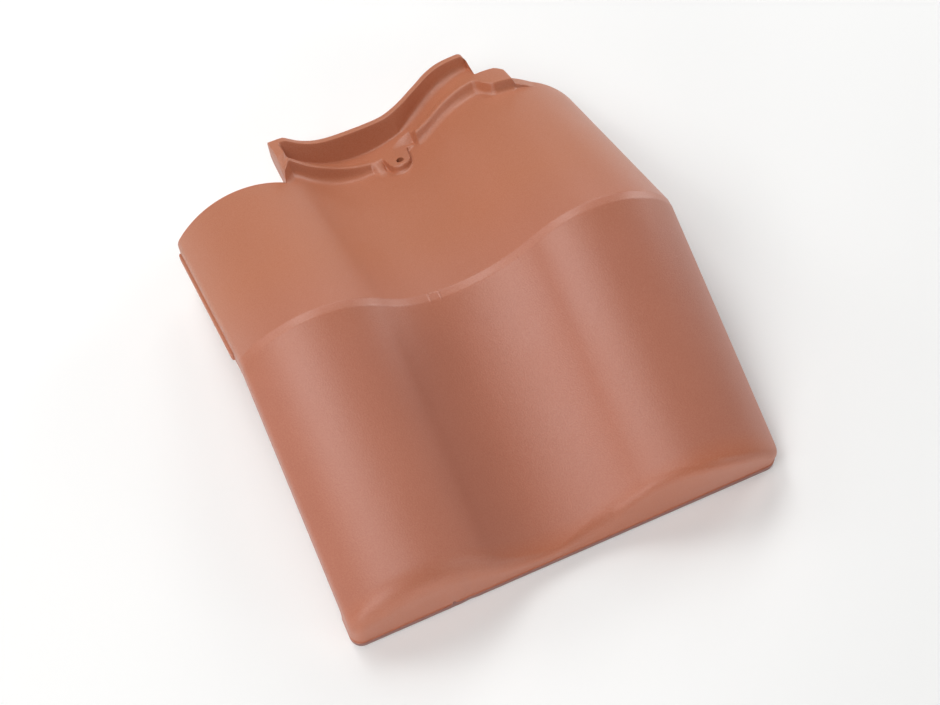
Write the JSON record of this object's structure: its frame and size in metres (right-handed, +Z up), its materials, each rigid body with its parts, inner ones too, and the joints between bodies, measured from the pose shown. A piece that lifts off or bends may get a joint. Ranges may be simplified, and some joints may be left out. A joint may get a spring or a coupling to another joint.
{
  "type": "clay roof tile",
  "caption": "Pressed clay roof tile with broad rolls, bent so that an apron folds down from the roof leg, with a raised head lock, a nail hole and hanging nibs at the upper end.",
  "frame": {"origin": "middle of the tile's bounding box, on the floor that it lies on", "axes": "+X across the rolls, to the right for someone who faces the apron; +Y from the apron's bottom edge to the head lock; +Z up"},
  "size_m": [0.342, 0.3994, 0.1335],
  "materials": {
    "fired_clay": "unglazed, matte, finely sanded by the press"
  },
  "bodies": {
    "root": {"clay_tile": "fired_clay"}
  },
  "joints": []
}
